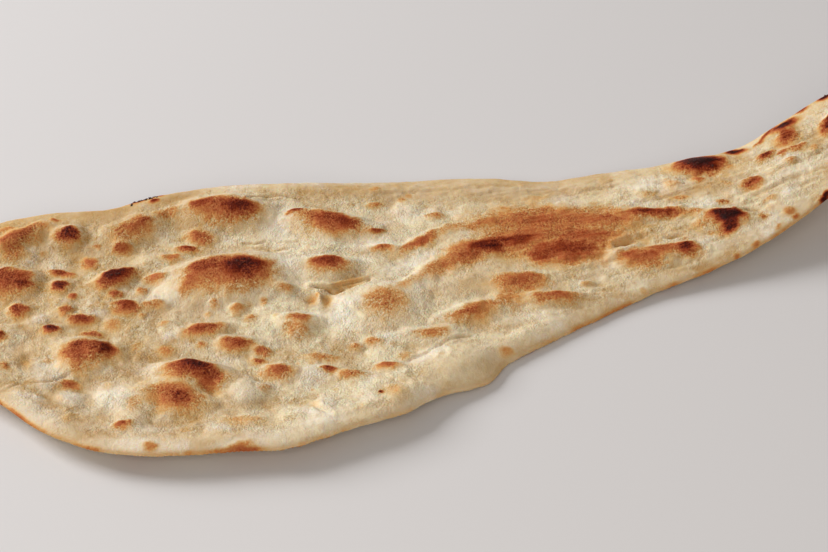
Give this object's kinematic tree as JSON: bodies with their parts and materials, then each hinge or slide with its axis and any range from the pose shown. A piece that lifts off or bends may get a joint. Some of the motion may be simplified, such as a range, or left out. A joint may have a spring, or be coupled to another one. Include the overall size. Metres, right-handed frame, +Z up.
{
  "type": "naan bread",
  "caption": "Large teardrop-shaped leavened flatbread with a blistered, scorched top, a dished broad end and a tail that curls up.",
  "frame": {"origin": "on the surface that the bread lies on, under the middle of its bounding box", "axes": "+X from the broad end to the tip of the tail, +Y to the straighter long side (the back in the usual view), +Z up out of the blistered top"},
  "size_m": [0.458, 0.1774, 0.0384],
  "materials": {
    "crust": null
  },
  "bodies": {
    "root": {"naan": "crust"}
  },
  "joints": []
}
